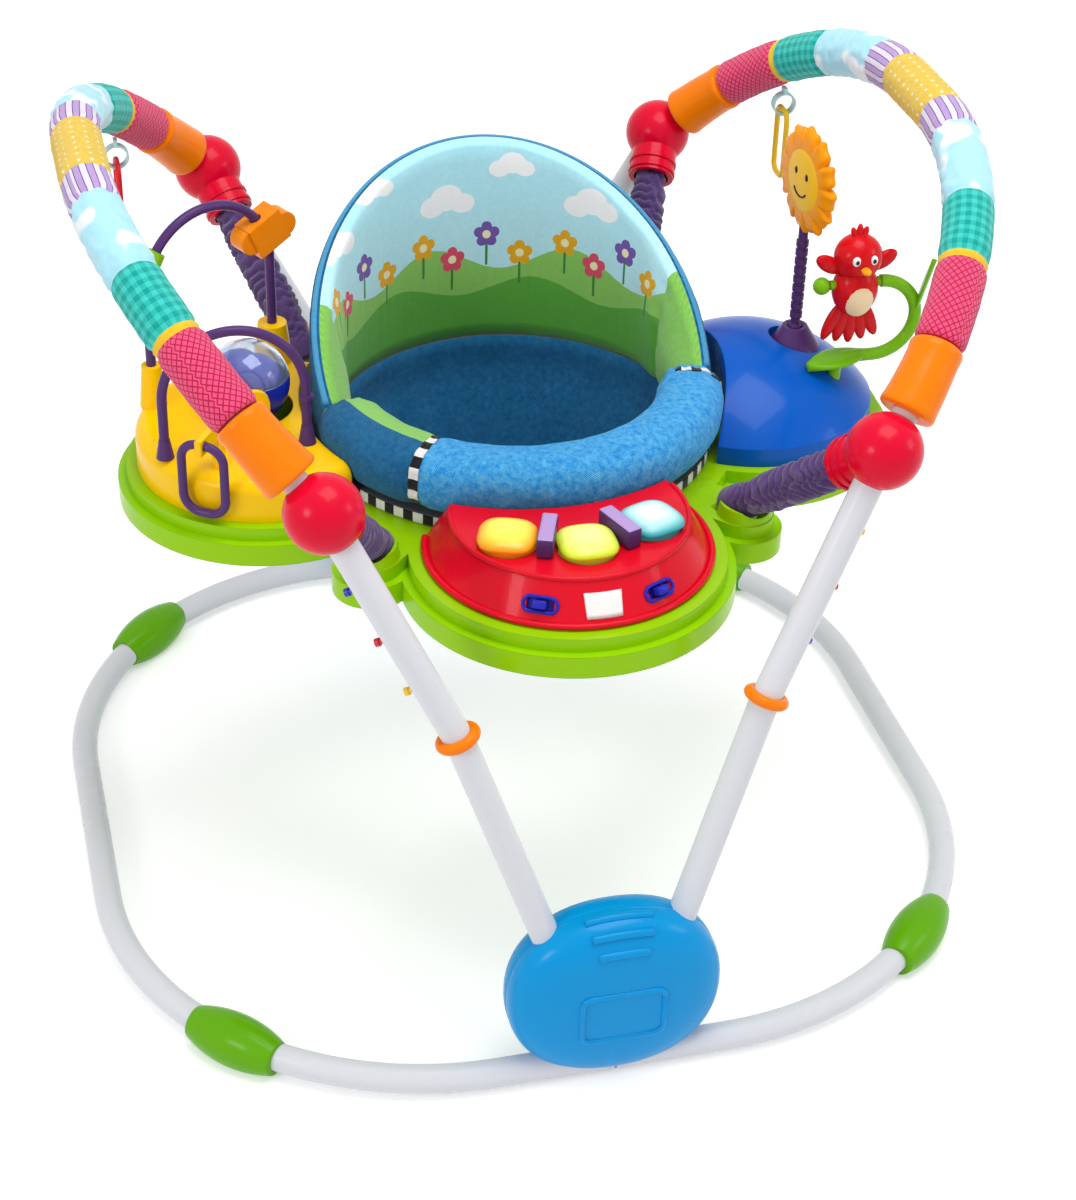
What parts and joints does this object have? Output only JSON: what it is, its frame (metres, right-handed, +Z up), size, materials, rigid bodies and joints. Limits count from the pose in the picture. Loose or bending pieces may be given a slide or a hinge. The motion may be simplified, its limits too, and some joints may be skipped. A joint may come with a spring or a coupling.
{
  "type": "baby jumper",
  "caption": "Free-standing baby jumper: steel floor ring and legs, padded arches, and a toy tray with a turning seat hung on sleeved springs.",
  "frame": {"origin": "on the floor under the middle of the frame", "axes": "+Z up, front towards -Y, +X to the right seen from the front"},
  "size_m": [0.9486, 0.97, 0.8309],
  "materials": {
    "hub_blue": "gloss",
    "tube_white": "gloss",
    "arch_steel": "gloss",
    "foot_green": "gloss",
    "orange_plastic": "gloss",
    "stud_plastic": "gloss",
    "ball_red": "gloss",
    "patchwork": "woven",
    "ribbon": "woven",
    "link_red": "gloss",
    "link_yellow": "gloss",
    "sleeve_purple": "woven",
    "spring_steel": "bare",
    "tray_green": "gloss",
    "station_yellow": "gloss",
    "station_red": "gloss",
    "station_blue": "gloss",
    "toy_purple": "satin",
    "roller_blue": "gloss",
    "block_orange": "gloss",
    "bead_green": "gloss",
    "key_amber": "translucent",
    "key_lime": "translucent",
    "key_teal": "translucent",
    "switch_blue": "gloss",
    "sun_orange": "gloss",
    "branch_green": "gloss",
    "bird_red": "gloss",
    "ring_grey": "matte",
    "denim": "woven",
    "seat_print": "woven, printed",
    "sling_cloth": "woven",
    "clear_plastic": "clear"
  },
  "bodies": {
    "frame": {"front_hub_cover": "hub_blue", "front_hub_back": "hub_blue", "rear_hub_cover": "hub_blue", "rear_hub_back": "hub_blue", "base_tube_front_left": "tube_white", "base_tube_front_right": "tube_white", "base_tube_rear_left": "tube_white", "base_tube_rear_right": "tube_white", "base_tube_left": "tube_white", "base_tube_right": "tube_white", "leg_front_left": "tube_white", "leg_front_right": "tube_white", "leg_rear_left": "tube_white", "leg_rear_right": "tube_white", "arch_tube_left": "arch_steel", "arch_tube_right": "arch_steel", "foot_front_left": "foot_green", "foot_front_right": "foot_green", "foot_rear_left": "foot_green", "foot_rear_right": "foot_green", "leg_rings": "orange_plastic", "arch_sockets": "orange_plastic", "height_studs": "stud_plastic", "ball_front_left": "ball_red", "ball_front_right": "ball_red", "ball_rear_left": "ball_red", "ball_rear_right": "ball_red", "arch_cover_left": "patchwork", "arch_cover_right": "patchwork", "toy_loops": "ribbon"},
    "link_left": {"link_left": "link_red"},
    "link_right": {"link_right": "link_yellow"},
    "tray": {"tray_top": "tray_green", "tray_under": "tray_green", "strap_sleeves": "sleeve_purple", "bounce_springs": "spring_steel", "left_station": "station_yellow", "bead_wires": "toy_purple", "front_station": "station_red", "key_dividers": "toy_purple", "right_station": "station_blue", "stalk_boot": "toy_purple", "branch": "branch_green"},
    "roller": {"roller_shell": "roller_blue", "roller_window": "clear_plastic"},
    "block": {"bead_block": "block_orange"},
    "twist": {"bead_twist": "bead_green"},
    "grab": {"grab_ring": "toy_purple"},
    "key_left": {"key_left": "key_amber"},
    "key_middle": {"key_middle": "key_lime"},
    "key_right": {"key_right": "key_teal"},
    "switch_left": {"switch_left": "switch_blue"},
    "switch_right": {"switch_right": "switch_blue"},
    "sun": {"stalk": "toy_purple", "sun": "sun_orange"},
    "bird": {"bird": "bird_red"},
    "seat": {"seat_ring": "ring_grey", "seat_roll": "denim", "seat_back": "seat_print", "seat_sling": "sling_cloth"}
  },
  "joints": [
    {"name": "tray_bounce", "type": "slide", "parent": "frame", "child": "tray", "axis": [0, 0, 1], "range_m": [-0.09, 0.03], "stiffness_N_per_m": 900, "springref_m": 0.07907, "deforming": ["strap_sleeves", "bounce_springs"]},
    {"name": "seat_swivel", "type": "hinge", "parent": "tray", "child": "seat", "pos_m": [0, 0, 0.472], "axis": [0, 0, 1], "continuous": true},
    {"name": "roller_spin", "type": "hinge", "parent": "tray", "child": "roller", "pos_m": [-0.268, 0.025, 0.545], "axis": [0, 1, 0], "continuous": true},
    {"name": "block_slide", "type": "hinge", "parent": "tray", "child": "block", "pos_m": [-0.294, 0.083, 0.636], "axis": [0.4472, -0.8944, 0], "range_deg": [-8, 60]},
    {"name": "twist_slide", "type": "hinge", "parent": "tray", "child": "twist", "pos_m": [-0.294, 0.083, 0.636], "axis": [0.4472, -0.8944, 0], "range_deg": [-25, 4]},
    {"name": "grab_swing", "type": "hinge", "parent": "tray", "child": "grab", "pos_m": [-0.3322, -0.11317, 0.557], "axis": [-0.8261, 0.5635, 0], "range_deg": [0, 70]},
    {"name": "key_left_press", "type": "slide", "parent": "tray", "child": "key_left", "axis": [0, 0, 1], "range_m": [-0.004, 0], "stiffness_N_per_m": 300, "springref_m": 0.002},
    {"name": "key_middle_press", "type": "slide", "parent": "tray", "child": "key_middle", "axis": [0, 0, 1], "range_m": [-0.004, 0], "stiffness_N_per_m": 300, "springref_m": 0.002},
    {"name": "key_right_press", "type": "slide", "parent": "tray", "child": "key_right", "axis": [0, 0, 1], "range_m": [-0.004, 0], "stiffness_N_per_m": 300, "springref_m": 0.002},
    {"name": "switch_left_slide", "type": "slide", "parent": "tray", "child": "switch_left", "axis": [0.8942, -0.4478, 0], "range_m": [-0.005, 0.005]},
    {"name": "switch_right_slide", "type": "slide", "parent": "tray", "child": "switch_right", "axis": [0.8942, 0.4478, 0], "range_m": [-0.005, 0.005]},
    {"name": "sun_bend", "type": "hinge", "parent": "tray", "child": "sun", "pos_m": [0.301, -0.004, 0.561], "axis": [0, 1, 0], "range_deg": [-25, 1], "stiffness_Nm_per_rad": 2},
    {"name": "bird_swing", "type": "hinge", "parent": "tray", "child": "bird", "pos_m": [0.343, -0.052, 0.631], "axis": [1, 0, 0], "range_deg": [-40, 40]},
    {"name": "link_left_swing", "type": "hinge", "parent": "frame", "child": "link_left", "pos_m": [-0.36378, 0.25, 0.69137], "axis": [0, 1, 0], "range_deg": [-50, 50]},
    {"name": "link_right_swing", "type": "hinge", "parent": "frame", "child": "link_right", "pos_m": [0.36378, 0.25, 0.69137], "axis": [0, 1, 0], "range_deg": [-50, 50]}
  ]
}
